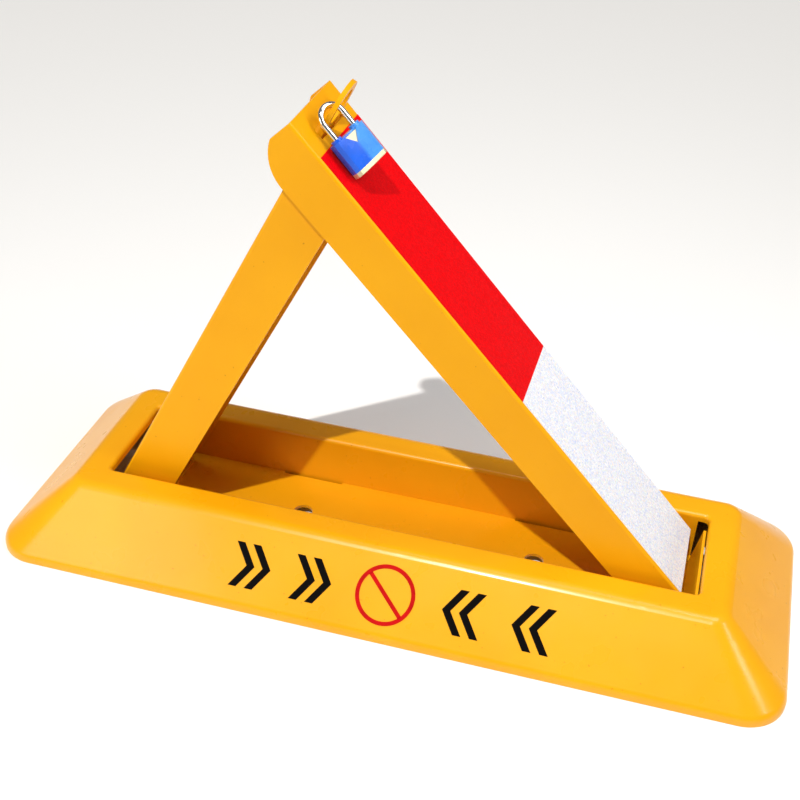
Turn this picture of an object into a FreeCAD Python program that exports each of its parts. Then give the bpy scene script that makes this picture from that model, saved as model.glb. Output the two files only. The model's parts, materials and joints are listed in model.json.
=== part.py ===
import FreeCAD, Part
import Sketcher
import math
import os
import re

# Folding parking lock: a low sloping base, a long and a short channel-section arm hinged
# at its two ends, and a small padlock holding the short arm's tongue above the long arm.
# Origin: centre of the base's footprint on the ground. +X points to the long arm's hinge,
# -Y to the side people drive in from, +Z up. Millimetres.

doc = FreeCAD.newDocument("ParkingLock")
sheet = doc.addObject("Spreadsheet::Sheet", "Dims")

SIZES = [
    # base cover
    ("base_length", 600.0),
    ("base_width", 220.0),
    ("base_height", 52.0),
    ("skirt_height", 6.0),
    ("skirt_blend", 8.0),
    ("foot_corner", 32.0),
    ("top_half_x", 248.0),
    ("top_half_y", 65.5),
    ("top_corner", 12.0),
    ("fold_radius", 11.0),
    ("cover_sheet", 2.5),
    ("cavity_low", 4.9),
    ("cavity_top_half_x", 247.0),
    ("cavity_top_half_y", 64.4),
    ("opening_half_x", 227.0),
    ("opening_half_y", 43.5),
    ("opening_corner", 4.0),
    ("lip_radius", 3.3),
    ("lip_depth", 6.5),
    ("side_wall_half_x", 219.0),
    # floor of the trough, feet and end plate
    ("floor_low", 7.5),
    ("floor_sheet", 2.5),
    ("floor_left", 217.5),
    ("floor_right", 219.9),
    ("floor_half_y", 43.45),
    ("anchor_radius", 7.5),
    ("anchor_left_x", -86.7),
    ("anchor_right_x", 102.0),
    ("slit_width", 2.0),
    ("slit_a_start", -118.0),
    ("slit_a_end", -68.0),
    ("slit_b_start", 78.0),
    ("slit_b_end", 129.0),
    ("cross_foot_x", 150.0),
    ("cross_foot_half_x", 16.0),
    ("cross_foot_length", 206.0),
    ("cross_foot_sheet", 2.0),
    ("end_plate_low_x", 217.6),
    ("end_plate_high_x", 224.2),
    ("end_plate_top", 45.5),
    ("end_plate_sheet", 2.0),
    ("end_plate_front_y", -40.0),
    ("end_plate_rear_y", 34.0),
    # long arm
    ("long_pivot_x", 198.1),
    ("long_pivot_z", 33.0),
    ("long_lean", 47.07),
    ("long_width", 76.0),
    ("long_web_out", 18.0),
    ("long_flange_low", 16.6),
    ("long_far_end", 417.8),
    ("long_near_end", 4.5),
    ("long_nose_radius", 31.6),
    ("long_nose_start", 390.0),
    ("long_heel_radius", 17.0),
    ("arm_sheet", 2.5),
    ("arm_bend", 2.4),
    ("slot_near", 396.7),
    ("slot_far", 404.2),
    ("slot_half_y", 20.0),
    ("slot_corner", 1.5),
    ("tape_half_y", 36.0),
    ("tape_thick", 0.4),
    ("tape_near", 4.3),
    ("tape_joint", 185.6),
    ("tape_far", 390.4),
    # short arm and its tongue
    ("short_pivot_x", 206.9),
    ("short_pivot_z", 29.0),
    ("short_lean", 61.87),
    ("short_width", 68.0),
    ("short_web_out", 19.0),
    ("short_flange_low", 19.0),
    ("short_far_end", 316.0),
    ("short_heel_radius", 17.5),
    ("short_web_start", 2.0),
    ("short_toe_radius", 12.0),
    ("tongue_thick", 3.0),
    ("tongue_width", 35.0),
    ("tongue_tip", 373.5),
    ("tongue_round", 17.4),
    ("tongue_hole_x", 356.0),
    ("tongue_hole_radius", 12.2),
    ("tongue_lap", 28.0),
    # hinges
    ("pin_radius", 5.0),
    ("pin_running", 0.08),
    ("pin_head_radius", 8.0),
    ("pin_head_thick", 2.6),
    ("pin_groove_radius", 4.0),
    ("washer_radius", 9.0),
    ("washer_thick", 1.0),
    ("ring_radius", 7.2),
    ("ring_thick", 1.0),
    ("ear_radius", 12.0),
    ("ear_sheet", 4.0),
    ("ear_gap", 0.4),
    ("bracket_sheet", 2.5),
    ("side_play", 0.3),
    ("spacer_radius", 7.5),
    # padlock
    ("lock_along", 390.2),
    ("lock_across", -14.5),
    ("lock_above", 12.3),
    ("lock_roll", 32.0),
    ("lock_half_wide", 13.25),
    ("lock_half_thick", 5.25),
    ("lock_chamfer", 2.2),
    ("lock_shoulder", 4.7),
    ("lock_ridge", 5.7),
    ("jacket_length", 21.4),
    ("jacket_wall", 1.0),
    ("jacket_top", 1.2),
    ("case_length", 24.5),
    ("notch_half_wide", 6.5),
    ("notch_depth", 8.0),
    ("collar_radius", 3.7),
    ("collar_height", 1.8),
    ("leg_half_gap", 8.3),
    ("wire_radius", 2.0),
    ("leg_bore", 2.35),
    ("bend_height", 12.0),
    ("long_leg_end", 14.5),
    ("short_leg_end", 5.2),
    ("catch_start", 2.6),
    ("catch_end", 4.6),
    ("catch_depth", 1.2),
    ("plug_radius", 4.0),
    ("plug_running", 0.06),
    ("plug_inner", 9.9),
    ("crank_offset", 2.6),
    ("crank_radius", 0.8),
    ("rivet_radius", 0.8),
    ("rivet_a", 5.2),
    ("rivet_f", 2.9),
    ("spring_wire", 0.35),
    ("spring_mean", 1.5),
]

for row, (alias, value) in enumerate(SIZES, start=1):
    sheet.set("A%d" % row, alias)
    sheet.set("B%d" % row, str(value))
    sheet.setAlias("B%d" % row, alias)
doc.recompute()

SUBPARTS = []


def ref(text):
    """The same arithmetic written against the spreadsheet's names."""
    return re.sub(r"[a-z][a-z_]*", r"Dims.\g<0>", text)


def size(text):
    """Value of an arithmetic expression in spreadsheet names."""
    return float(sheet.evalExpression(text))


def bind(item, prop, text):
    item.setExpression(prop, ref(text))


# ---------------------------------------------------------------- sketch helpers


def new_body(label):
    body = doc.addObject("PartDesign::Body", label)
    body.Label = label
    return body


def origin_part(body, role):
    for feature in body.Origin.OriginFeatures:
        if feature.Role == role:
            return feature
    raise RuntimeError(role)


def new_sketch(body, name, role, lift=None):
    sketch = body.newObject("Sketcher::SketchObject", body.Label + "_" + name)
    sketch.AttachmentSupport = [(origin_part(body, role), "")]
    sketch.MapMode = "FlatFace"
    if lift:
        sketch.AttachmentOffset = FreeCAD.Placement(
            FreeCAD.Vector(0, 0, size(lift)), FreeCAD.Rotation()
        )
        bind(sketch, "AttachmentOffset.Base.z", lift)
    return sketch


def pin_point(sketch, index, place, x, y):
    """Tie one sketch point to the sketch origin by two bound distances."""
    for kind, axis, text in (("DistanceX", -2, x), ("DistanceY", -1, y)):
        if abs(size(text)) < 1e-9:
            sketch.addConstraint(Sketcher.Constraint("PointOnObject", index, place, axis))
        else:
            row = sketch.addConstraint(
                Sketcher.Constraint(kind, -1, 1, index, place, size(text))
            )
            bind(sketch, "Constraints[%d]" % row, text)


def arc_between(start, end, radius):
    """Counter-clockwise arc from start to end, shorter than half a turn."""
    chord = end - start
    half = chord.Length / 2
    rise = math.sqrt(max(radius * radius - half * half, 0.0))
    side = FreeCAD.Vector(-chord.y, chord.x, 0).normalize()
    centre = start + chord * 0.5 + side * rise
    first = math.atan2(start.y - centre.y, start.x - centre.x)
    last = math.atan2(end.y - centre.y, end.x - centre.x)
    if last < first:
        last += 2 * math.pi
    circle = Part.Circle(centre, FreeCAD.Vector(0, 0, 1), radius)
    return Part.ArcOfCircle(circle, first, last)


def outline(sketch, corners):
    """Closed outline, listed counter-clockwise. Each corner is (x, y) or (x, y, radius):
    the radius, where given, makes the piece leaving that corner an arc."""
    points = [FreeCAD.Vector(size(c[0]), size(c[1]), 0) for c in corners]
    ids = []
    for number, corner in enumerate(corners):
        start = points[number]
        end = points[(number + 1) % len(points)]
        if len(corner) == 3:
            ids.append(sketch.addGeometry(arc_between(start, end, size(corner[2])), False))
        else:
            ids.append(sketch.addGeometry(Part.LineSegment(start, end), False))
    for number, corner in enumerate(corners):
        following = ids[(number + 1) % len(ids)]
        sketch.addConstraint(Sketcher.Constraint("Coincident", ids[number], 2, following, 1))
    for number, corner in enumerate(corners):
        pin_point(sketch, ids[number], 1, corner[0], corner[1])
        if len(corner) == 3:
            row = sketch.addConstraint(
                Sketcher.Constraint("Radius", ids[number], size(corner[2]))
            )
            bind(sketch, "Constraints[%d]" % row, corner[2])


def box_outline(sketch, left, right, low, high):
    outline(sketch, [(left, low), (right, low), (right, high), (left, high)])


def round_box(sketch, left, right, low, high, radius):
    """Rectangle with four equal rounded corners."""
    inner_left = "(%s) + (%s)" % (left, radius)
    inner_right = "(%s) - (%s)" % (right, radius)
    inner_low = "(%s) + (%s)" % (low, radius)
    inner_high = "(%s) - (%s)" % (high, radius)
    outline(
        sketch,
        [
            (inner_left, low),
            (inner_right, low, radius),
            (right, inner_low),
            (right, inner_high, radius),
            (inner_right, high),
            (inner_left, high, radius),
            (left, inner_high),
            (left, inner_low, radius),
        ],
    )


def ring_hole(sketch, x, y, radius):
    centre = FreeCAD.Vector(size(x), size(y), 0)
    circle = Part.Circle(centre, FreeCAD.Vector(0, 0, 1), size(radius))
    index = sketch.addGeometry(circle, False)
    pin_point(sketch, index, 3, x, y)
    row = sketch.addConstraint(Sketcher.Constraint("Radius", index, size(radius)))
    bind(sketch, "Constraints[%d]" % row, radius)


# ---------------------------------------------------------------- feature helpers


def volume_of(body):
    doc.recompute()
    return body.Shape.Volume if body.Tip and not body.Shape.isNull() else 0.0


def pad(body, sketch, length, both=False, back=False):
    before = volume_of(body)
    feature = body.newObject("PartDesign::Pad", sketch.Label + "_pad")
    feature.Profile = sketch
    feature.SideType = "Symmetric" if both else "One side"
    feature.Reversed = back
    bind(feature, "Length", length)
    sketch.Visibility = False
    if volume_of(body) <= before:
        raise RuntimeError("pad added nothing: " + sketch.Label)
    return feature


def pocket(body, sketch, length, both=False, back=False):
    before = volume_of(body)
    feature = body.newObject("PartDesign::Pocket", sketch.Label + "_pocket")
    feature.Profile = sketch
    feature.SideType = "Symmetric" if both else "One side"
    feature.Reversed = back
    bind(feature, "Length", length)
    sketch.Visibility = False
    if volume_of(body) >= before:
        raise RuntimeError("pocket cut nothing: " + sketch.Label)
    return feature


def loft(body, kind, sketches):
    feature = body.newObject("PartDesign::" + kind, body.Label + "_" + kind)
    feature.Profile = sketches[0]
    feature.Sections = sketches[1:]
    feature.Ruled = True
    for sketch in sketches:
        sketch.Visibility = False
    doc.recompute()
    return feature


def round_edges(body, radius, wanted):
    """Round every edge of the body's last feature whose middle point is wanted."""
    doc.recompute()
    base = body.Tip
    names = []
    for number, edge in enumerate(base.Shape.Edges, start=1):
        middle = edge.valueAt((edge.FirstParameter + edge.LastParameter) / 2)
        if wanted(middle, edge):
            names.append("Edge%d" % number)
    if not names:
        raise RuntimeError("no edge to round on " + body.Label)
    feature = body.newObject("PartDesign::Fillet", body.Label + "_round")
    feature.Base = (base, names)
    bind(feature, "Radius", radius)
    doc.recompute()
    return feature


def near(value, target):
    return abs(value - target) < 0.02


def turned(label, corners):
    """Round piece turned about its own Y axis from a half outline (radius, along)."""
    body = new_body(label)
    half = new_sketch(body, "half", "XY_Plane")
    outline(half, corners)
    feature = body.newObject("PartDesign::Revolution", label + "_turned")
    feature.Profile = half
    feature.ReferenceAxis = (half, ["V_Axis"])
    feature.Angle = 360
    half.Visibility = False
    doc.recompute()
    return body


def finish_part(item, label, placement=None):
    item.Label = label
    if placement:
        item.Placement = placement
    SUBPARTS.append(item)


# ---------------------------------------------------------------- frames of the moving parts

Y_AXIS = FreeCAD.Vector(0, 1, 0)
X_AXIS = FreeCAD.Vector(1, 0, 0)
Z_AXIS = FreeCAD.Vector(0, 0, 1)

LONG_HINGE = FreeCAD.Placement(
    FreeCAD.Vector(size("long_pivot_x"), 0, size("long_pivot_z")), FreeCAD.Rotation()
)
SHORT_HINGE = FreeCAD.Placement(
    FreeCAD.Vector(-size("short_pivot_x"), 0, size("short_pivot_z")), FreeCAD.Rotation()
)
LONG_ARM = LONG_HINGE.multiply(
    FreeCAD.Placement(FreeCAD.Vector(), FreeCAD.Rotation(Y_AXIS, size("long_lean")))
)
SHORT_ARM = SHORT_HINGE.multiply(
    FreeCAD.Placement(FreeCAD.Vector(), FreeCAD.Rotation(Y_AXIS, -size("short_lean")))
)
PADLOCK = LONG_ARM.multiply(
    FreeCAD.Placement(
        FreeCAD.Vector(
            -size("lock_along"),
            size("lock_across"),
            size("long_web_out + lock_above"),
        ),
        FreeCAD.Rotation(X_AXIS, size("lock_roll")),
    )
)


# ---------------------------------------------------------------- base


def foot_sketch(body, name, lift, inset):
    """Outline of the cover where it stands on the ground, drawn in by an inset."""
    sketch = new_sketch(body, name, "XY_Plane", lift)
    round_box(
        sketch,
        "%s - base_length / 2" % inset,
        "base_length / 2 - %s" % inset,
        "%s - base_width / 2" % inset,
        "base_width / 2 - %s" % inset,
        "foot_corner - %s" % inset,
    )
    return sketch


def base_cover():
    body = new_body("base_cover")
    pad(body, foot_sketch(body, "ground", None, "0"), "skirt_height")
    low = foot_sketch(body, "skirt", "skirt_height", "0")
    top = new_sketch(body, "top", "XY_Plane", "base_height")
    round_box(top, "-top_half_x", "top_half_x", "-top_half_y", "top_half_y", "top_corner")
    loft(body, "AdditiveLoft", [low, top])
    level = size("skirt_height")
    crown = size("base_height")
    round_edges(body, "skirt_blend", lambda p, e: near(p.z, level))
    round_edges(body, "fold_radius", lambda p, e: near(p.z, crown))

    hollow = foot_sketch(body, "hollow_ground", None, "cover_sheet")
    pocket(body, hollow, "cavity_low", back=True)
    hollow_low = foot_sketch(body, "hollow_skirt", "cavity_low", "cover_sheet")
    roof = new_sketch(body, "hollow_top", "XY_Plane", "base_height - cover_sheet")
    round_box(
        roof,
        "-cavity_top_half_x",
        "cavity_top_half_x",
        "-cavity_top_half_y",
        "cavity_top_half_y",
        "top_corner - cover_sheet",
    )
    loft(body, "SubtractiveLoft", [hollow_low, roof])

    lip = new_sketch(body, "lip", "XY_Plane", "base_height - lip_depth")
    round_box(
        lip,
        "-opening_half_x - cover_sheet",
        "opening_half_x + cover_sheet",
        "-opening_half_y - cover_sheet",
        "opening_half_y + cover_sheet",
        "opening_corner + cover_sheet",
    )
    pad(body, lip, "lip_depth - cover_sheet / 2")
    walls = new_sketch(body, "side_walls", "XY_Plane", "floor_low")
    for low, high in (
        ("-opening_half_y - cover_sheet", "-opening_half_y"),
        ("opening_half_y", "opening_half_y + cover_sheet"),
    ):
        box_outline(walls, "-side_wall_half_x", "side_wall_half_x", low, high)
    pad(body, walls, "base_height - floor_low - cover_sheet")
    mouth = new_sketch(body, "mouth", "XY_Plane", "base_height")
    round_box(
        mouth,
        "-opening_half_x",
        "opening_half_x",
        "-opening_half_y",
        "opening_half_y",
        "opening_corner",
    )
    pocket(body, mouth, "lip_depth + cover_sheet")
    reach = size("opening_half_x") + 0.1
    depth = size("opening_half_y") + 0.1
    round_edges(
        body,
        "lip_radius",
        lambda p, e: near(p.z, crown) and abs(p.x) < reach and abs(p.y) < depth,
    )
    finish_part(body, "base_cover")


def floor_plate():
    body = new_body("floor_plate")
    plate = new_sketch(body, "plate", "XY_Plane", "floor_low")
    box_outline(plate, "-floor_left", "floor_right", "-floor_half_y", "floor_half_y")
    pad(body, plate, "floor_sheet")
    anchors = new_sketch(body, "anchors", "XY_Plane", "floor_low + floor_sheet")
    ring_hole(anchors, "anchor_left_x", "0", "anchor_radius")
    ring_hole(anchors, "anchor_right_x", "0", "anchor_radius")
    pocket(body, anchors, "2 * floor_sheet", both=True)
    slits = new_sketch(body, "slits", "XY_Plane", "floor_low + floor_sheet")
    for start, end in (("slit_a_start", "slit_a_end"), ("slit_b_start", "slit_b_end")):
        box_outline(slits, start, end, "-floor_half_y - 1", "slit_width - floor_half_y")
        box_outline(slits, start, end, "floor_half_y - slit_width", "floor_half_y + 1")
    pocket(body, slits, "2 * floor_sheet", both=True)
    finish_part(body, "floor_plate")


def cross_foot(label, side):
    """Strip bent to a low channel, standing on the ground under the floor plate."""
    body = new_body(label)
    profile = new_sketch(body, "profile", "XZ_Plane")
    wide = "cross_foot_half_x"
    thin = "cross_foot_half_x - cross_foot_sheet"
    outline(
        profile,
        [
            ("-" + wide, "0"),
            ("cross_foot_sheet - cross_foot_half_x", "0"),
            ("cross_foot_sheet - cross_foot_half_x", "floor_low - cross_foot_sheet"),
            (thin, "floor_low - cross_foot_sheet"),
            (thin, "0"),
            (wide, "0"),
            (wide, "floor_low"),
            ("-" + wide, "floor_low"),
        ],
    )
    pad(body, profile, "cross_foot_length", both=True)
    round_edges(
        body,
        "cross_foot_sheet / 2",
        lambda p, e: near(abs(p.x), size(wide)) and near(p.z, size("floor_low")),
    )
    place = FreeCAD.Placement(
        FreeCAD.Vector(side * size("cross_foot_x"), 0, 0), FreeCAD.Rotation()
    )
    finish_part(body, label, place)


def right_end_plate():
    body = new_body("right_end_plate")
    profile = new_sketch(body, "profile", "XZ_Plane")
    floor_top = "floor_low + floor_sheet"
    outline(
        profile,
        [
            ("end_plate_low_x", floor_top),
            ("end_plate_low_x + end_plate_sheet", floor_top),
            ("end_plate_high_x + end_plate_sheet", "end_plate_top"),
            ("end_plate_high_x", "end_plate_top"),
        ],
    )
    pad(body, profile, "end_plate_rear_y - end_plate_front_y", both=True)
    shift = size("(end_plate_rear_y + end_plate_front_y) / 2")
    finish_part(
        body,
        "right_end_plate",
        FreeCAD.Placement(FreeCAD.Vector(0, shift, 0), FreeCAD.Rotation()),
    )


# ---------------------------------------------------------------- hinges


def hinge_bracket(label, pivot_z, arm_width, place):
    """Strap bent to a U, welded on the floor, its two ears carrying the pin."""
    body = new_body(label)
    foot = "floor_low + floor_sheet - " + pivot_z
    half = "%s / 2 - arm_sheet - ear_gap" % arm_width
    ears = new_sketch(body, "ears", "XZ_Plane")
    outline(
        ears,
        [
            ("-ear_radius", foot),
            ("ear_radius", foot),
            ("ear_radius", "0", "ear_radius"),
            ("0", "ear_radius", "ear_radius"),
            ("-ear_radius", "0"),
        ],
    )
    pad(body, ears, "2 * (%s)" % half, both=True)
    inside = new_sketch(body, "inside", "XZ_Plane")
    box_outline(
        inside,
        "-ear_radius - 1",
        "ear_radius + 1",
        foot + " + bracket_sheet",
        "ear_radius + 1",
    )
    pocket(body, inside, "2 * (%s - ear_sheet)" % half, both=True)
    eye = new_sketch(body, "eye", "XZ_Plane")
    ring_hole(eye, "0", "0", "pin_radius + pin_running / 2")
    pocket(body, eye, arm_width, both=True)
    finish_part(body, label, place)


def hinge_pin(prefix, arm_width, place):
    """Headed pin fixed in the bracket's ears, with washers, retaining ring and spacer."""
    face = "%s / 2 + side_play" % arm_width
    seat = face + " + washer_thick"
    head = seat + " + side_play + pin_head_thick"
    groove = seat + " + side_play"
    tip = groove + " + ring_thick + pin_head_thick / 2"
    pin = turned(
        prefix + "_pin",
        [
            ("0", "-(%s)" % head),
            ("pin_head_radius - pin_head_thick / 4", "-(%s)" % head),
            ("pin_head_radius", "-(%s) + pin_head_thick / 4" % head),
            ("pin_head_radius", "-(%s) + pin_head_thick" % head),
            ("pin_radius", "-(%s) + pin_head_thick" % head),
            ("pin_radius", groove),
            ("pin_groove_radius", groove),
            ("pin_groove_radius", groove + " + ring_thick"),
            ("pin_radius", groove + " + ring_thick"),
            ("pin_radius", tip + " - 0.5"),
            ("pin_radius - 0.5", tip),
            ("0", tip),
        ],
    )
    finish_part(pin, prefix + "_pin", place)
    for name, low, high in (
        ("_washer_front", "-(%s)" % seat, "-(%s)" % face),
        ("_washer_rear", face, seat),
    ):
        washer = turned(
            prefix + name,
            [
                ("pin_radius + pin_running", low),
                ("washer_radius", low),
                ("washer_radius", high),
                ("pin_radius + pin_running", high),
            ],
        )
        finish_part(washer, prefix + name, place)
    spacer = turned(
        prefix + "_spacer",
        [
            ("pin_radius + pin_running", "ear_sheet + ear_gap + arm_sheet - %s / 2" % arm_width),
            ("spacer_radius", "ear_sheet + ear_gap + arm_sheet - %s / 2" % arm_width),
            ("spacer_radius", "%s / 2 - arm_sheet - ear_gap - ear_sheet" % arm_width),
            ("pin_radius + pin_running", "%s / 2 - arm_sheet - ear_gap - ear_sheet" % arm_width),
        ],
    )
    finish_part(spacer, prefix + "_spacer", place)
    ring = turned(
        prefix + "_ring",
        [
            ("pin_groove_radius + pin_running", groove + " + pin_running"),
            ("ring_radius", groove + " + pin_running"),
            ("ring_radius", groove + " + ring_thick - pin_running"),
            ("pin_groove_radius + pin_running", groove + " + ring_thick - pin_running"),
        ],
    )
    gap = new_sketch(ring, "gap", "XZ_Plane")
    box_outline(gap, "-pin_groove_radius / 2", "pin_groove_radius / 2", "-ring_radius - 1", "0")
    pocket(ring, gap, "2 * %s" % arm_width, both=True)
    finish_part(ring, prefix + "_ring", place)


# ---------------------------------------------------------------- arms


def long_arm_channel():
    body = new_body("long_arm_channel")
    side = new_sketch(body, "side", "XZ_Plane")
    outline(
        side,
        [
            ("-long_far_end", "long_web_out"),
            ("-long_far_end", "0", "long_nose_radius"),
            ("-long_nose_start", "-long_flange_low"),
            ("0", "-long_flange_low"),
            ("0", "0"),
            ("long_near_end", "0"),
            ("long_near_end", "long_web_out"),
        ],
    )
    pad(body, side, "long_width", both=True)
    heel = new_sketch(body, "heel", "XZ_Plane")
    ring_hole(heel, "0", "0", "long_heel_radius")
    pad(body, heel, "long_width", both=True)
    inside = new_sketch(body, "inside", "XZ_Plane")
    outline(
        inside,
        [
            ("-long_far_end - 5", "-2 * long_flange_low"),
            ("3 * long_heel_radius", "-2 * long_flange_low"),
            ("3 * long_heel_radius", "2 * long_web_out"),
            ("long_near_end", "2 * long_web_out"),
            ("long_near_end", "long_web_out - arm_sheet"),
            ("-long_far_end - 5", "long_web_out - arm_sheet"),
        ],
    )
    pocket(body, inside, "long_width - 2 * arm_sheet", both=True)
    eye = new_sketch(body, "eye", "XZ_Plane")
    ring_hole(eye, "0", "0", "pin_radius + pin_running")
    pocket(body, eye, "2 * long_width", both=True)
    slot = new_sketch(body, "slot", "XY_Plane", "long_web_out")
    round_box(slot, "-slot_far", "-slot_near", "-slot_half_y", "slot_half_y", "slot_corner")
    pocket(body, slot, "4 * arm_sheet", both=True)
    edge_y = size("long_width / 2")
    edge_z = size("long_web_out")
    round_edges(
        body,
        "arm_bend",
        lambda p, e: near(abs(p.y), edge_y) and near(p.z, edge_z) and e.Length > 100,
    )
    finish_part(body, "long_arm_channel", LONG_ARM)


def tape(label, near_end, far_end):
    """Reflective tape stuck on the long arm's web."""
    strip = doc.addObject("Part::Box", label)
    bind(strip, "Length", "%s - %s" % (far_end, near_end))
    bind(strip, "Width", "2 * tape_half_y")
    bind(strip, "Height", "tape_thick")
    corner = FreeCAD.Vector(-size(far_end), -size("tape_half_y"), size("long_web_out"))
    finish_part(strip, label, LONG_ARM.multiply(FreeCAD.Placement(corner, FreeCAD.Rotation())))


def short_arm_channel():
    body = new_body("short_arm_channel")
    side = new_sketch(body, "side", "XZ_Plane")
    outline(
        side,
        [
            ("-short_web_start", "short_web_out - arm_sheet"),
            ("0", "short_web_out - arm_sheet"),
            ("0", "-short_heel_radius"),
            ("short_web_start * 2", "-short_flange_low"),
            ("short_far_end - short_toe_radius", "-short_flange_low", "short_toe_radius"),
            ("short_far_end", "short_toe_radius - short_flange_low"),
            ("short_far_end", "short_web_out"),
            ("-short_web_start", "short_web_out"),
        ],
    )
    pad(body, side, "short_width", both=True)
    heel = new_sketch(body, "heel", "XZ_Plane")
    ring_hole(heel, "0", "0", "short_heel_radius")
    pad(body, heel, "short_width", both=True)
    inside = new_sketch(body, "inside", "XZ_Plane")
    outline(
        inside,
        [
            ("-3 * short_heel_radius", "-2 * short_flange_low"),
            ("short_far_end + 5", "-2 * short_flange_low"),
            ("short_far_end + 5", "short_web_out - arm_sheet"),
            ("-short_web_start", "short_web_out - arm_sheet"),
            ("-short_web_start", "2 * short_web_out"),
            ("-3 * short_heel_radius", "2 * short_web_out"),
        ],
    )
    pocket(body, inside, "short_width - 2 * arm_sheet", both=True)
    eye = new_sketch(body, "eye", "XZ_Plane")
    ring_hole(eye, "0", "0", "pin_radius + pin_running")
    pocket(body, eye, "2 * short_width", both=True)
    edge_y = size("short_width / 2")
    edge_z = size("short_web_out")
    round_edges(
        body,
        "arm_bend",
        lambda p, e: near(abs(p.y), edge_y) and near(p.z, edge_z) and e.Length > 100,
    )
    finish_part(body, "short_arm_channel", SHORT_ARM)


def lock_tongue():
    """Joggled strap lapped under the short arm's web and carried on in its plane."""
    body = new_body("lock_tongue")
    profile = new_sketch(body, "profile", "XZ_Plane")
    under = "short_web_out - arm_sheet"
    outline(
        profile,
        [
            ("short_far_end - tongue_lap", under + " - tongue_thick"),
            ("short_far_end + 0.3", under + " - tongue_thick"),
            ("short_far_end + tongue_thick", "short_web_out - tongue_thick"),
            ("tongue_tip", "short_web_out - tongue_thick"),
            ("tongue_tip", "short_web_out"),
            ("short_far_end + 0.1", "short_web_out"),
            ("short_far_end + 0.1", under),
            ("short_far_end - tongue_lap", under),
        ],
    )
    pad(body, profile, "tongue_width", both=True)
    hole = new_sketch(body, "hole", "XY_Plane", "short_web_out")
    ring_hole(hole, "tongue_hole_x", "0", "tongue_hole_radius")
    pocket(body, hole, "4 * tongue_thick", both=True)
    tip = size("tongue_tip")
    round_edges(
        body,
        "tongue_round",
        lambda p, e: near(p.x, tip) and near(abs(p.y), size("tongue_width / 2")),
    )
    finish_part(body, "lock_tongue", SHORT_ARM)


# ---------------------------------------------------------------- padlock


def lock_section(sketch, inset):
    """Padlock cross-section: bevelled block with a shallow ridge down its front."""
    wide = "lock_half_wide - (%s)" % inset
    back = "(%s) - lock_half_thick" % inset
    shoulder = "lock_shoulder - (%s)" % inset
    cut = "(lock_chamfer - (%s) / 2)" % inset
    outline(
        sketch,
        [
            ("-(%s) + %s" % (wide, cut), back),
            ("%s - %s" % (wide, cut), back),
            (wide, "%s + %s" % (back, cut)),
            (wide, "%s - %s" % (shoulder, cut)),
            ("%s - %s" % (wide, cut), shoulder),
            ("0", "lock_ridge - (%s)" % inset),
            ("-(%s) + %s" % (wide, cut), shoulder),
            ("-(%s)" % wide, "%s - %s" % (shoulder, cut)),
            ("-(%s)" % wide, "%s + %s" % (back, cut)),
        ],
    )


def padlock_jacket():
    body = new_body("padlock_jacket")
    outer = new_sketch(body, "outer", "YZ_Plane")
    lock_section(outer, "0")
    pad(body, outer, "jacket_length")
    inner = new_sketch(body, "inner", "YZ_Plane", "jacket_top")
    lock_section(inner, "jacket_wall")
    pocket(body, inner, "jacket_length", back=True)
    collars = new_sketch(body, "collars", "YZ_Plane")
    ring_hole(collars, "leg_half_gap", "0", "collar_radius")
    ring_hole(collars, "-leg_half_gap", "0", "collar_radius")
    pad(body, collars, "collar_height", back=True)
    bores = new_sketch(body, "bores", "YZ_Plane")
    ring_hole(bores, "leg_half_gap", "0", "leg_bore")
    ring_hole(bores, "-leg_half_gap", "0", "leg_bore")
    pocket(body, bores, "4 * collar_height", both=True)
    notch = new_sketch(body, "notch", "XY_Plane", "lock_ridge + 1")
    outline(
        notch,
        [
            ("-1", "-notch_half_wide"),
            ("notch_depth", "0"),
            ("-1", "notch_half_wide"),
        ],
    )
    pocket(body, notch, "lock_ridge - lock_shoulder + 1 + 2.2 * jacket_wall")
    finish_part(body, "padlock_jacket", PADLOCK)


def padlock_core():
    body = new_body("padlock_core")
    block = new_sketch(body, "block", "YZ_Plane", "jacket_top")
    lock_section(block, "jacket_wall")
    pad(body, block, "jacket_length - jacket_top")
    long_bore = new_sketch(body, "long_bore", "YZ_Plane", "jacket_top")
    ring_hole(long_bore, "-leg_half_gap", "0", "leg_bore")
    pocket(body, long_bore, "jacket_length - jacket_top - 0.5", back=True)
    short_bore = new_sketch(body, "short_bore", "YZ_Plane", "jacket_top")
    ring_hole(short_bore, "leg_half_gap", "0", "leg_bore")
    pocket(body, short_bore, "short_leg_end - jacket_top + 1", back=True)
    plug_bore = new_sketch(body, "plug_bore", "YZ_Plane", "jacket_length")
    ring_hole(plug_bore, "0", "0", "plug_radius + plug_running")
    pocket(body, plug_bore, "jacket_length - plug_inner + 0.3")
    room = new_sketch(body, "latch_room", "XY_Plane")
    box_outline(
        room,
        "catch_start - 0.3",
        "plug_inner",
        "-leg_half_gap + leg_bore + 0.2",
        "leg_half_gap",
    )
    pocket(body, room, "4", both=True)
    crank = new_sketch(body, "crank_room", "YZ_Plane", "plug_inner")
    ring_hole(crank, "0", "0", "crank_offset + crank_radius + 0.3")
    pocket(body, crank, "plug_inner - catch_end - 1.3")
    for side in ("-", ""):
        for face in ("-", ""):
            rivet = new_sketch(body, "rivet_bore", "YZ_Plane", "jacket_length")
            ring_hole(rivet, side + "rivet_a", face + "rivet_f", "rivet_radius")
            pocket(body, rivet, "jacket_length - jacket_top - 2")
    finish_part(body, "padlock_core", PADLOCK)


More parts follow.
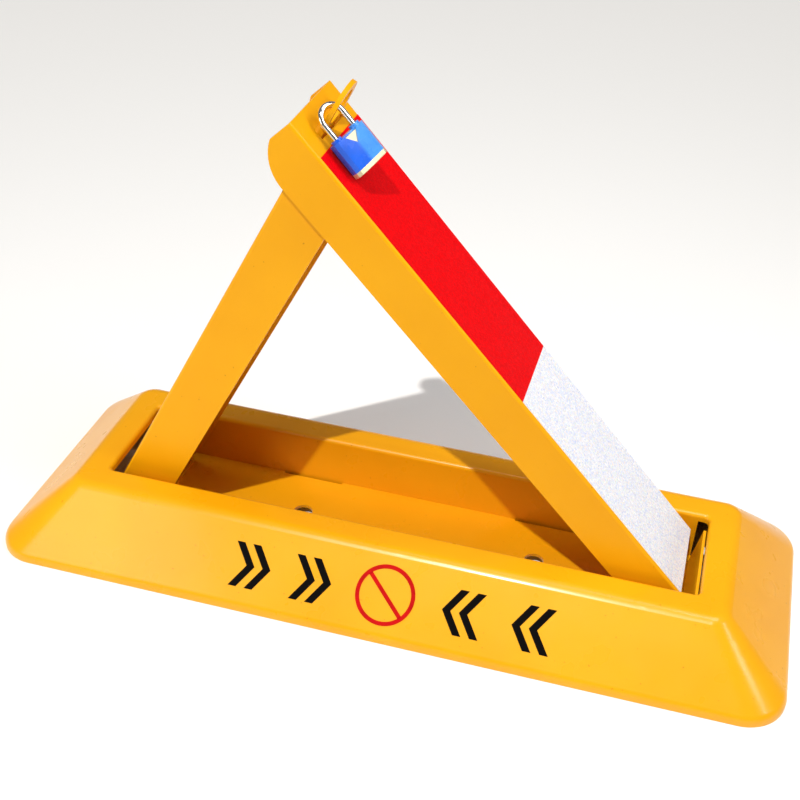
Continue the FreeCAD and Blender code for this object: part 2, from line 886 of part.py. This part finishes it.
def padlock_base_plate():
    body = new_body("padlock_base_plate")
    plate = new_sketch(body, "plate", "YZ_Plane", "jacket_length")
    lock_section(plate, "0")
    pad(body, plate, "case_length - jacket_length")
    bore = new_sketch(body, "bore", "YZ_Plane", "case_length")
    ring_hole(bore, "0", "0", "plug_radius + plug_running")
    pocket(body, bore, "case_length - jacket_length + 1")
    rivets = new_sketch(body, "rivet_holes", "YZ_Plane", "case_length")
    for side in ("-", ""):
        for face in ("-", ""):
            ring_hole(rivets, side + "rivet_a", face + "rivet_f", "rivet_radius")
    pocket(body, rivets, "case_length - jacket_length + 1")
    bottom = size("case_length")
    round_edges(
        body,
        "plug_radius / 8",
        lambda p, e: near(p.x, bottom) and abs(p.y) + abs(p.z) > 9 or
        (near(p.x, bottom) and abs(p.z) > 4),
    )
    finish_part(body, "padlock_base_plate", PADLOCK)


def padlock_rivets():
    number = 0
    for side in ("-", ""):
        for face in ("-", ""):
            number += 1
            label = "padlock_rivet_%d" % number
            body = new_body(label)
            shank = new_sketch(body, "shank", "YZ_Plane", "jacket_top + 2")
            ring_hole(shank, side + "rivet_a", face + "rivet_f", "rivet_radius")
            pad(body, shank, "case_length - jacket_top - 1.75")
            round_edges(
                body, "rivet_radius / 4", lambda p, e: p.x > size("case_length")
            )
            finish_part(body, label, PADLOCK)


def padlock_key_plug():
    body = new_body("padlock_key_plug")
    barrel = new_sketch(body, "barrel", "YZ_Plane", "plug_inner")
    ring_hole(barrel, "0", "0", "plug_radius")
    pad(body, barrel, "case_length - plug_inner - 0.3")
    crank = new_sketch(body, "crank", "YZ_Plane", "plug_inner")
    ring_hole(crank, "0", "crank_offset", "crank_radius")
    pad(body, crank, "plug_inner - catch_end - 1.8", back=True)
    keyway = new_sketch(body, "keyway", "YZ_Plane", "case_length - 0.3")
    outline(
        keyway,
        [
            ("-0.6", "-2.6"),
            ("0.6", "-2.6"),
            ("0.6", "-0.4"),
            ("1.1", "0.2"),
            ("0.6", "0.8"),
            ("0.6", "2.4"),
            ("-0.6", "2.4"),
        ],
    )
    pocket(body, keyway, "case_length - plug_inner - 3")
    finish_part(body, "padlock_key_plug", PADLOCK)


def padlock_latch():
    """Bolt for the short leg's catch, drawn back by the plug's crank, clear of the leg."""
    body = new_body("padlock_latch")
    plan = new_sketch(body, "plan", "XY_Plane")
    nose = "leg_half_gap - wire_radius - 0.4"
    tail = "-crank_offset - crank_radius - 0.4"
    outline(
        plan,
        [
            ("catch_start + 0.3", tail + " - 1.6"),
            ("plug_inner - 0.3", tail + " - 1.6"),
            ("plug_inner - 0.3", tail),
            ("catch_end - 0.3", tail),
            ("catch_end - 0.3", nose),
            ("catch_start + 0.3", nose),
        ],
    )
    pad(body, plan, "3.2", both=True)
    finish_part(body, "padlock_latch", PADLOCK)


def primitive(kind, label, **values):
    item = doc.addObject("Part::" + kind, label)
    for prop, text in values.items():
        bind(item, prop, text)
    return item


def padlock_shackle():
    """Bent wire: long leg captive in the case, short leg caught by the latch."""
    along = FreeCAD.Rotation(Y_AXIS, 90)
    legs = []
    for label, side, reach in (
        ("shackle_long_leg", "-", "long_leg_end"),
        ("shackle_short_leg", "", "short_leg_end"),
    ):
        leg = primitive(
            "Cylinder", label, Radius="wire_radius", Height="bend_height + " + reach
        )
        leg.Placement = FreeCAD.Placement(
            FreeCAD.Vector(-size("bend_height"), size(side + "leg_half_gap"), 0), along
        )
        legs.append(leg)
    bend = primitive(
        "Torus", "shackle_bend", Radius1="leg_half_gap", Radius2="wire_radius"
    )
    bend.Angle3 = 180
    bend.Placement = FreeCAD.Placement(
        FreeCAD.Vector(-size("bend_height"), 0, 0), FreeCAD.Rotation(Z_AXIS, 90)
    )
    wire = doc.addObject("Part::MultiFuse", "shackle_wire")
    wire.Shapes = legs + [bend]
    wire.Refine = True
    doc.recompute()
    ends = doc.addObject("Part::Chamfer", "shackle_ends")
    ends.Base = wire
    rounded = []
    for number, edge in enumerate(wire.Shape.Edges, start=1):
        middle = edge.valueAt((edge.FirstParameter + edge.LastParameter) / 2)
        closed = edge.isClosed()
        if closed and middle.x > size("short_leg_end") - 0.05:
            rounded.append((number, 0.6, 0.6))
    ends.Edges = rounded
    bite = primitive(
        "Box",
        "shackle_bite",
        Length="catch_end - catch_start",
        Width="catch_depth + 1",
        Height="3 * wire_radius",
    )
    bite.Placement.Base = FreeCAD.Vector(
        size("catch_start"),
        size("leg_half_gap - wire_radius - 1"),
        -size("1.5 * wire_radius"),
    )
    shackle = doc.addObject("Part::Cut", "padlock_shackle")
    shackle.Base = ends
    shackle.Tool = bite
    doc.recompute()
    finish_part(shackle, "padlock_shackle", PADLOCK)


def padlock_spring():
    """Coil behind the long leg's end."""
    coil = primitive(
        "Helix",
        "spring_line",
        Radius="spring_mean",
        Height="jacket_length - long_leg_end - 0.9 - 2 * spring_wire",
    )
    coil.Pitch = 1.3
    section = primitive("Circle", "spring_section", Radius="spring_wire")
    section.Placement = FreeCAD.Placement(
        FreeCAD.Vector(size("spring_mean"), 0, 0), FreeCAD.Rotation(X_AXIS, 90)
    )
    spring = doc.addObject("Part::Sweep", "padlock_spring")
    spring.Sections = [section]
    spring.Spine = (coil, [])
    spring.Solid = True
    spring.Frenet = True
    doc.recompute()
    local = FreeCAD.Placement(
        FreeCAD.Vector(size("long_leg_end + 0.3 + spring_wire"), -size("leg_half_gap"), 0),
        FreeCAD.Rotation(Y_AXIS, 90),
    )
    finish_part(spring, "padlock_spring", PADLOCK.multiply(local))


# ---------------------------------------------------------------- assembly

base_cover()
floor_plate()
cross_foot("left_cross_foot", -1)
cross_foot("right_cross_foot", 1)
right_end_plate()
hinge_bracket("right_hinge_bracket", "long_pivot_z", "long_width", LONG_HINGE)
hinge_bracket("left_hinge_bracket", "short_pivot_z", "short_width", SHORT_HINGE)
hinge_pin("long_arm", "long_width", LONG_HINGE)
hinge_pin("short_arm", "short_width", SHORT_HINGE)
long_arm_channel()
tape("white_tape", "-tape_near", "tape_joint")
tape("red_tape", "tape_joint", "tape_far")
short_arm_channel()
lock_tongue()
padlock_jacket()
padlock_core()
padlock_base_plate()
padlock_rivets()
padlock_key_plug()
padlock_latch()
padlock_shackle()
padlock_spring()

doc.recompute()
for item in doc.Objects:
    if "Invalid" in item.State or "Error" in item.State:
        raise RuntimeError("bad object: %s %s" % (item.Label, item.State))

os.makedirs("parts", exist_ok=True)
for item in SUBPARTS:
    shape = item.Shape
    if shape.isNull() or not shape.isValid():
        raise RuntimeError("bad shape: " + item.Label)
    shape.exportStep("parts/%s.step" % item.Label)
    print("%-24s solids %d volume %.1f" % (item.Label, len(shape.Solids), shape.Volume))
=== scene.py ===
import json
import math
import bpy
from mathutils import Matrix, Vector


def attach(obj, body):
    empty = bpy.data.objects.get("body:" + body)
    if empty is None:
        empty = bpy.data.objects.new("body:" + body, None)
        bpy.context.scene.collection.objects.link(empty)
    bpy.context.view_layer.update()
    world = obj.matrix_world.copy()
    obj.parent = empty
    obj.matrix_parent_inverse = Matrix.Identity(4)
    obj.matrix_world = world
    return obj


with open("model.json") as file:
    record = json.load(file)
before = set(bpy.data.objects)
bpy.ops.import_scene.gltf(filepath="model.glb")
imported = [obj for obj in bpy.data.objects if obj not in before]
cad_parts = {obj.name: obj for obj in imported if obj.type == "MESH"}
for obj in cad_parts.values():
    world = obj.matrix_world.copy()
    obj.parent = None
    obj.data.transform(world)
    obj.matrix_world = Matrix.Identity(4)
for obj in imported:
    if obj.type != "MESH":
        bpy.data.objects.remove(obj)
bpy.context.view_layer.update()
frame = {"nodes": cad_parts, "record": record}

MM = 0.001

# The camera's place is in millimetres and its turn in degrees, in the shared frame.
# Lens and sensor are in millimetres, the shift is a share of the picture's width,
# and the far clip is in metres.
CAMERA_PLACE = (176.9, -684.0, 641.4)
CAMERA_TURN = (51.71, -3.07, 14.44)
CAMERA_LENS = 53.91
CAMERA_SENSOR = 36.0
CAMERA_FAR = 50.0
CAMERA_SHIFT = (-0.06375, 0.07625)

# Driving sizes repeated from the CAD model, in millimetres and degrees.
COVER_HALF_Y = 110.0
COVER_TOP_HALF_Y = 65.5
COVER_SKIRT = 6.0
COVER_HEIGHT = 52.0
LONG_LEAN = 47.07

# The padlock's jacket: centre, direction across its broad face, half width of the
# blend between its two facets, whose two blues are painted light and shade, and the slope
# that bump adds to each facet.
LOCK_CENTRE = Vector((-45.5, -14.5, 339.3))
LOCK_ACROSS = Vector((0.388, 0.848, 0.361))
RIDGE_BLEND = 1.5
FACET_SLOPE = 0.16

# Cells per metre in the reflective tape.
TAPE_GRID = 850.0

PLAIN_WHITE = (1.0, 1.0, 1.0, 1.0)


def linear(r, g, b):
    """Display colour (0-255) as the linear values a shader socket takes."""
    out = []
    for value in (r, g, b):
        level = value / 255.0
        if level <= 0.04045:
            out.append(level / 12.92)
        else:
            out.append(((level + 0.055) / 1.055) ** 2.4)
    return (out[0], out[1], out[2], 1.0)


def darker(colour, share):
    """The same colour with its three channels scaled by share."""
    return tuple(share * channel for channel in colour[:3]) + (1.0,)


# ---------------------------------------------------------------- materials


class Paint:
    """A node material with one Principled shader and short helpers."""

    def __init__(self, name, roughness, **sockets):
        self.material = bpy.data.materials.new(name)
        self.material.use_nodes = True
        self.tree = self.material.node_tree
        self.shader = self.tree.nodes["Principled BSDF"]
        self.shader.inputs["Roughness"].default_value = roughness
        for socket, value in sockets.items():
            self.shader.inputs[socket.replace("_", " ")].default_value = value
        self.coords = self.tree.nodes.new("ShaderNodeTexCoord").outputs["Object"]

    def node(self, kind, **values):
        made = self.tree.nodes.new(kind)
        for name, value in values.items():
            setattr(made, name, value)
        return made

    def link(self, out, into):
        self.tree.links.new(out, into)

    def noise(self, scale, detail):
        made = self.node("ShaderNodeTexNoise")
        made.inputs["Scale"].default_value = scale
        made.inputs["Detail"].default_value = detail
        self.link(self.coords, made.inputs["Vector"])
        return made.outputs["Fac"]

    def ramp(self, fac, stops):
        """Colour along fac; stops are (position, colour) pairs in rising order."""
        made = self.node("ShaderNodeValToRGB")
        self.link(fac, made.inputs["Fac"])
        made.color_ramp.elements[0].position = stops[0][0]
        made.color_ramp.elements[0].color = stops[0][1]
        made.color_ramp.elements[1].position = stops[-1][0]
        made.color_ramp.elements[1].color = stops[-1][1]
        for place, colour in stops[1:-1]:
            made.color_ramp.elements.new(place).color = colour
        return made.outputs["Color"]

    def span(self, fac, low, high):
        """Range 0 to 1 stretched to low and high."""
        made = self.node("ShaderNodeMapRange")
        self.link(fac, made.inputs["Value"])
        made.inputs["To Min"].default_value = low
        made.inputs["To Max"].default_value = high
        return made.outputs["Result"]

    def multiply(self, share, base, shade):
        """Base colour multiplied by a shade, by the given share."""
        made = self.node("ShaderNodeMix", data_type="RGBA", blend_type="MULTIPLY")
        factor, first, second = [
            next(s for s in made.inputs if s.name == name and s.enabled)
            for name in ("Factor", "A", "B")
        ]
        factor.default_value = share
        self.link(base, first)
        self.link(shade, second)
        return next(s for s in made.outputs if s.enabled)

    def bump(self, height, strength, distance, previous=None):
        made = self.node("ShaderNodeBump")
        made.inputs["Strength"].default_value = strength
        made.inputs["Distance"].default_value = distance
        self.link(height, made.inputs["Height"])
        if previous:
            self.link(previous, made.inputs["Normal"])
        return made.outputs["Normal"]

    def colour(self, out):
        self.link(out, self.shader.inputs["Base Color"])

    def rough(self, out):
        self.link(out, self.shader.inputs["Roughness"])

    def normal(self, out):
        self.link(out, self.shader.inputs["Normal"])


def yellow_coat(name, deep, bright, gloss, coat, shine):
    """Stove-enamelled sheet: cloudy colour, few specks, flow marks, fine orange peel."""
    paint = Paint(
        name, gloss, Coat_Weight=coat, Coat_Roughness=0.12, Specular_IOR_Level=shine
    )
    cloud = paint.noise(scale=9.0, detail=3.0)
    base = paint.ramp(cloud, [(0.35, deep), (0.65, bright)])
    dust = paint.noise(scale=420.0, detail=1.0)
    specks = paint.ramp(dust, [(0.76, PLAIN_WHITE), (0.80, (0.72, 0.66, 0.6, 1.0))])
    paint.colour(paint.multiply(1.0, base, specks))
    haze = paint.noise(scale=45.0, detail=2.0)
    paint.rough(paint.span(haze, low=gloss - 0.05, high=gloss + 0.07))
    grit = paint.noise(scale=650.0, detail=2.0)
    peel = paint.bump(grit, strength=0.07, distance=0.0003)
    flow = paint.noise(scale=14.0, detail=1.0)
    paint.normal(paint.bump(flow, strength=0.12, distance=0.002, previous=peel))
    return paint.material


def prism_tape(name, tints, gloss, glint, shine):
    """Retroreflective sheeting: tiny tilted prisms with a seam round each."""
    paint = Paint(name, gloss, Specular_IOR_Level=shine)
    mapping = paint.node("ShaderNodeMapping")
    mapping.inputs["Rotation"].default_value = (0.0, math.radians(-LONG_LEAN), 0.0)
    paint.link(paint.coords, mapping.inputs["Vector"])
    cells = paint.node("ShaderNodeTexVoronoi", feature="F1")
    cells.inputs["Scale"].default_value = TAPE_GRID
    paint.link(mapping.outputs["Vector"], cells.inputs["Vector"])
    shade = paint.node("ShaderNodeSeparateColor")
    paint.link(cells.outputs["Color"], shade.inputs["Color"])
    base = paint.ramp(shade.outputs["Red"], tints)
    seam = paint.node("ShaderNodeTexVoronoi", feature="DISTANCE_TO_EDGE")
    seam.inputs["Scale"].default_value = TAPE_GRID
    paint.link(mapping.outputs["Vector"], seam.inputs["Vector"])
    stops = [(0.02, (0.8, 0.8, 0.82, 1.0)), (0.10, PLAIN_WHITE)]
    line = paint.ramp(seam.outputs["Distance"], stops)
    paint.colour(paint.multiply(0.7, base, line))
    paint.rough(paint.span(shade.outputs["Green"], low=gloss - 0.12, high=gloss + 0.15))
    tilt = paint.bump(shade.outputs["Blue"], strength=glint, distance=0.0006)
    ripple = paint.noise(scale=30.0, detail=2.0)
    paint.normal(paint.bump(ripple, strength=0.15, distance=0.002, previous=tilt))
    return paint.material


def plain_metal(name, colour, gloss, grain=600.0, metallic=1.0):
    """Plated or ground metal with faint grain and uneven polish."""
    paint = Paint(name, gloss, Metallic=metallic)
    fine = paint.noise(scale=grain, detail=2.0)
    cloud = paint.noise(scale=60.0, detail=3.0)
    paint.colour(paint.ramp(cloud, [(0.3, darker(colour, 0.86)), (0.7, colour)]))
    paint.rough(paint.span(fine, low=gloss - 0.06, high=gloss + 0.1))
    paint.normal(paint.bump(fine, strength=0.05, distance=0.0002))
    return paint.material


def printed(name, colour, gloss):
    """Screen-printed ink: slightly uneven density and a fine dry skin."""
    paint = Paint(name, gloss, Specular_IOR_Level=0.05)
    cloud = paint.noise(scale=90.0, detail=2.0)
    paint.colour(paint.ramp(cloud, [(0.35, darker(colour, 0.8)), (0.6, colour)]))
    haze = paint.noise(scale=140.0, detail=2.0)
    paint.rough(paint.span(haze, low=gloss - 0.06, high=gloss + 0.08))
    skin = paint.noise(scale=500.0, detail=1.0)
    paint.normal(paint.bump(skin, strength=0.06, distance=0.0003))
    return paint.material


def faceted_skin_with_painted_light(name, front, back, gloss):
    """Moulded jacket with a lighter and a darker half, painted light and shade on its two
    facets, and bump that steepens its ridge.
    """
    paint = Paint(
        name, gloss, Coat_Weight=0.3, Coat_Roughness=0.1, Specular_IOR_Level=0.4
    )
    shift = paint.node("ShaderNodeVectorMath", operation="SUBTRACT")
    paint.link(paint.coords, shift.inputs[0])
    shift.inputs[1].default_value = LOCK_CENTRE * MM
    across = paint.node("ShaderNodeVectorMath", operation="DOT_PRODUCT")
    paint.link(shift.outputs["Vector"], across.inputs[0])
    across.inputs[1].default_value = LOCK_ACROSS
    side = paint.node("ShaderNodeMapRange")
    side.inputs["From Min"].default_value = -RIDGE_BLEND * MM
    side.inputs["From Max"].default_value = RIDGE_BLEND * MM
    paint.link(across.outputs["Value"], side.inputs["Value"])
    # Painted light and shade: one blue split into a lighter lit facet on the +Y side and
    # a darker shaded facet.
    painted_facet_light = paint.ramp(side.outputs["Result"], [(0.0, front), (1.0, back)])
    cloud = paint.noise(scale=90.0, detail=2.0)
    mottle = paint.ramp(cloud, [(0.3, (0.82, 0.82, 0.86, 1.0)), (0.6, PLAIN_WHITE)])
    paint.colour(paint.multiply(1.0, painted_facet_light, mottle))
    haze = paint.noise(scale=140.0, detail=2.0)
    paint.rough(paint.span(haze, low=gloss - 0.06, high=gloss + 0.08))
    away = paint.node("ShaderNodeMath", operation="ABSOLUTE")
    paint.link(across.outputs["Value"], away.inputs[0])
    fall = paint.node("ShaderNodeMath", operation="MULTIPLY")
    fall.inputs[1].default_value = -FACET_SLOPE
    paint.link(away.outputs["Value"], fall.inputs[0])
    ridge = paint.bump(fall.outputs["Value"], strength=1.0, distance=1.0)
    skin = paint.noise(scale=400.0, detail=1.0)
    paint.normal(paint.bump(skin, strength=0.06, distance=0.0003, previous=ridge))
    return paint.material


COVER_COAT = yellow_coat(
    "cover_enamel",
    deep=linear(236, 162, 8),
    bright=linear(241, 170, 14),
    gloss=0.28,
    coat=0.18,
    shine=0.28,
)
ARM_COAT = yellow_coat(
    "arm_enamel",
    deep=linear(232, 160, 5),
    bright=linear(238, 168, 8),
    gloss=0.36,
    coat=0.04,
    shine=0.14,
)
WHITE_TAPE = prism_tape(
    "white_prisms",
    tints=[
        (0.0, linear(206, 214, 244)),
        (0.2, linear(236, 236, 246)),
        (0.45, linear(246, 246, 252)),
        (0.6, linear(246, 234, 228)),
        (0.75, linear(216, 228, 252)),
        (0.88, linear(236, 242, 234)),
        (1.0, linear(255, 255, 255)),
    ],
    gloss=0.30,
    glint=0.35,
    shine=0.3,
)
RED_TAPE = prism_tape(
    "red_prisms",
    tints=[
        (0.0, linear(218, 0, 8)),
        (0.5, linear(228, 0, 8)),
        (1.0, linear(238, 1, 10)),
    ],
    gloss=0.5,
    glint=0.08,
    shine=0.08,
)
# Painted light and shade: front is the jacket blue as a shaded facet, back the same blue
# as a lit facet.
BLUE_SKIN = faceted_skin_with_painted_light(
    "blue_skin", front=linear(26, 98, 224), back=linear(72, 150, 236), gloss=0.26
)
CASE_METAL = plain_metal(
    "case_plating", linear(222, 212, 172), gloss=0.36, metallic=0.4
)
CHROME = plain_metal("shackle_chrome", linear(246, 246, 246), gloss=0.10, grain=200.0)
ZINC = plain_metal("zinc_plate", linear(186, 186, 180), gloss=0.38)
BRASS = plain_metal("plug_brass", linear(214, 176, 98), gloss=0.30)
PRINT_BLACK = printed("print_black", linear(5, 3, 3), gloss=0.6)
PRINT_RED = printed("print_red", linear(196, 14, 14), gloss=0.55)

# The finish for each material slot that the record gives to its nodes.
BY_SLOT = {
    "yellow_paint": COVER_COAT,
    "arm_paint": ARM_COAT,
    "zinc_steel": ZINC,
    "white_reflective": WHITE_TAPE,
    "red_reflective": RED_TAPE,
    "blue_jacket": BLUE_SKIN,
    "lock_metal": CASE_METAL,
    "plug_brass": BRASS,
    "shackle_chrome": CHROME,
}

SLOT_OF = {
    subpart["node"]: subpart["material_slot"]
    for subpart in frame["record"]["subparts"]
}

for name, node in frame["nodes"].items():
    finish = BY_SLOT[SLOT_OF[name]]
    if not node.material_slots:
        node.data.materials.append(finish)
    for holder in node.material_slots:
        holder.material = finish


# ---------------------------------------------------------------- printed marks


SLOPE_LOW = Vector((0.0, -COVER_HALF_Y, COVER_SKIRT))
SLOPE_HIGH = Vector((0.0, -COVER_TOP_HALF_Y, COVER_HEIGHT))
SLOPE_UP = (SLOPE_HIGH - SLOPE_LOW).normalized()
SLOPE_OUT = Vector((1.0, 0.0, 0.0)).cross(SLOPE_UP)

# Height of the print's middle above the paint, and its thickness, in millimetres.
PRINT_LIFT = 0.12
PRINT_THICK = 0.10


def slope_frame(x, up):
    """Matrix placing local X along the base, Y up the front slope, Z outward; metres."""
    place = SLOPE_LOW + Vector((x, 0.0, 0.0)) + SLOPE_UP * up + SLOPE_OUT * PRINT_LIFT
    matrix = Matrix(
        (
            (1.0, SLOPE_UP.x, SLOPE_OUT.x, place.x * MM),
            (0.0, SLOPE_UP.y, SLOPE_OUT.y, place.y * MM),
            (0.0, SLOPE_UP.z, SLOPE_OUT.z, place.z * MM),
            (0.0, 0.0, 0.0, 1.0),
        )
    )
    return matrix


def thin_piece(name, outlines, matrix, material, body):
    """Flat printed piece from closed outlines given in millimetres."""
    curve = bpy.data.curves.new(name, "CURVE")
    curve.dimensions = "2D"
    curve.fill_mode = "BOTH"
    curve.extrude = PRINT_THICK / 2 * MM
    for outline in outlines:
        spline = curve.splines.new("POLY")
        spline.points.add(len(outline) - 1)
        for point, (x, y) in zip(spline.points, outline):
            point.co = (x * MM, y * MM, 0.0, 1.0)
        spline.use_cyclic_u = True
    holder = bpy.data.objects.new(name + "_curve", curve)
    bpy.context.scene.collection.objects.link(holder)
    mesh = bpy.data.meshes.new_from_object(
        holder.evaluated_get(bpy.context.evaluated_depsgraph_get())
    )
    bpy.data.objects.remove(holder)
    bpy.data.curves.remove(curve)
    mesh.name = name
    mesh.transform(matrix)
    mesh.materials.clear()
    mesh.materials.append(material)
    piece = bpy.data.objects.new(name, mesh)
    bpy.context.scene.collection.objects.link(piece)
    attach(piece, body)


def ring_outline(radius, count=96):
    """Closed circle as count points."""
    angles = [2 * math.pi / count * k for k in range(count)]
    return [(radius * math.cos(angle), radius * math.sin(angle)) for angle in angles]


def bar_outline(start, end, width):
    """Rectangle of a given width round the segment from start to end."""
    a = Vector(start)
    b = Vector(end)
    along = (b - a).normalized()
    side = Vector((-along.y, along.x)) * (width / 2)
    corners = [a - side, b - side, b + side, a + side]
    return [(corner.x, corner.y) for corner in corners]


# Ring and bar: place along the base and up the slope, outer radius, stroke, and how
# far each end of the bar runs under the ring, in millimetres.
MARK_X = 8.4
MARK_UP = 30.7
MARK_RADIUS = 22.2
MARK_STROKE = 3.1
BAR_OVERLAP = 0.3

mark = slope_frame(MARK_X, MARK_UP)
inner = MARK_RADIUS - MARK_STROKE
thin_piece(
    "warning_ring",
    [ring_outline(MARK_RADIUS), ring_outline(inner)],
    mark,
    PRINT_RED,
    "base",
)
reach = inner * math.sqrt(0.5) + BAR_OVERLAP
thin_piece(
    "warning_bar",
    [bar_outline((-reach, reach), (reach, -reach), MARK_STROKE)],
    mark,
    PRINT_RED,
    "base",
)

# Plain double chevrons either side of the ring, pointing at it: each pair's place
# along the base and the side it points to, then the sizes in millimetres.
CHEVRON_PLACES = ((-94.0, 1), (-47.1, 1), (65.9, -1), (116.9, -1))
CHEVRON_UP = 29.8
CHEVRON_TALL = 33.0
CHEVRON_DEEP = 11.0
CHEVRON_STROKE = 6.2
CHEVRON_STEP = 12.5


def chevron_outline(start, facing):
    """One chevron whose open side starts at x = start and which points along facing."""
    half = CHEVRON_TALL / 2
    nose = CHEVRON_DEEP
    back = [(0.0, -half), (nose, 0.0), (0.0, half)]
    front = [
        (CHEVRON_STROKE, half),
        (nose + CHEVRON_STROKE, 0.0),
        (CHEVRON_STROKE, -half),
    ]
    return [(facing * (start + x), y) for x, y in back + front]


CHEVRON_SPAN = CHEVRON_STEP + CHEVRON_DEEP + CHEVRON_STROKE
for number, (x, facing) in enumerate(CHEVRON_PLACES, start=1):
    pair = [
        chevron_outline(-CHEVRON_SPAN / 2, facing),
        chevron_outline(CHEVRON_STEP - CHEVRON_SPAN / 2, facing),
    ]
    place = slope_frame(x, CHEVRON_UP)
    thin_piece("chevrons_%d" % number, pair, place, PRINT_BLACK, "base")

# ---------------------------------------------------------------- floor, light and camera


# Paper under the part, in metres: half its side, and its drop, which keeps it clear of
# the part's lowest faces.
FLOOR_HALF = 6.0
FLOOR_DROP = 0.0002
FLOOR_SHADE = (0.95, 0.95, 0.95, 1.0)
FLOOR_ROUGHNESS = 0.9

SUN_TRAVEL = Vector((0.116, 0.558, -1.0))
SUN_STRENGTH = 2.3
SUN_SPREAD = 1.2
SUN_TINT = (1.0, 0.97, 0.92)

# Soft lights: name, place, aimed at, disk size, all in metres, and power in watts.
PANELS = (
    ("front_fill", (-0.62, -0.66, 0.44), (-0.15, 0.0, 0.08), 0.5, 2.0),
    ("top_fill", (-0.05, 0.1, 1.5), (0.0, 0.0, 0.05), 0.7, 3.2),
    ("arm_fill", (0.36, -0.05, 0.76), (-0.02, 0.0, 0.28), 0.3, 1.75),
    ("edge_glint", (0.98, -0.2, 0.67), (0.25, -0.08, 0.04), 0.22, 1.3),
)
PANEL_TINT = (1.0, 1.0, 1.0)
WORLD_LEVEL = 0.15


def stage_floor():
    """Plain paper sheet, for the picture only."""
    mesh = bpy.data.meshes.new("floor")
    low, high = -FLOOR_HALF, FLOOR_HALF
    corners = [(low, low), (high, low), (high, high), (low, high)]
    mesh.from_pydata([(x, y, -FLOOR_DROP) for x, y in corners], [], [(0, 1, 2, 3)])
    paper = bpy.data.materials.new("paper")
    paper.use_nodes = True
    shader = paper.node_tree.nodes["Principled BSDF"]
    shader.inputs["Base Color"].default_value = FLOOR_SHADE
    shader.inputs["Roughness"].default_value = FLOOR_ROUGHNESS
    mesh.materials.append(paper)
    floor = bpy.data.objects.new("floor", mesh)
    bpy.context.scene.collection.objects.link(floor)


def aim_lamp(name, data, travel):
    """Lamp object whose light travels along the given direction."""
    lamp = bpy.data.objects.new(name, data)
    lamp.rotation_euler = travel.to_track_quat("-Z", "Y").to_euler()
    bpy.context.scene.collection.objects.link(lamp)
    return lamp


def sun_light():
    data = bpy.data.lights.new("key", "SUN")
    data.energy = SUN_STRENGTH
    data.angle = math.radians(SUN_SPREAD)
    data.color = SUN_TINT
    aim_lamp("key", data, SUN_TRAVEL)


def soft_panel(name, place, aim, size, power):
    data = bpy.data.lights.new(name, "AREA")
    data.shape = "DISK"
    data.size = size
    data.energy = power
    data.color = PANEL_TINT
    aim_lamp(name, data, Vector(aim) - Vector(place)).location = Vector(place)


stage_floor()
sun_light()
for name, place, aim, size, power in PANELS:
    soft_panel(name, place, aim, size, power)

world = bpy.data.worlds.new("studio")
bpy.context.scene.world = world
world.use_nodes = True
background = world.node_tree.nodes["Background"]
background.inputs["Color"].default_value = PLAIN_WHITE
background.inputs["Strength"].default_value = WORLD_LEVEL

bpy.context.scene.view_settings.view_transform = "Standard"

camera_data = bpy.data.cameras.new("camera")
camera_data.sensor_width = CAMERA_SENSOR
camera_data.lens = CAMERA_LENS
camera_data.shift_x = CAMERA_SHIFT[0]
camera_data.shift_y = CAMERA_SHIFT[1]
camera_data.clip_end = CAMERA_FAR
camera = bpy.data.objects.new("camera", camera_data)
camera.location = Vector(CAMERA_PLACE) * MM
camera.rotation_euler = [math.radians(angle) for angle in CAMERA_TURN]
bpy.context.scene.collection.objects.link(camera)
bpy.context.scene.camera = camera
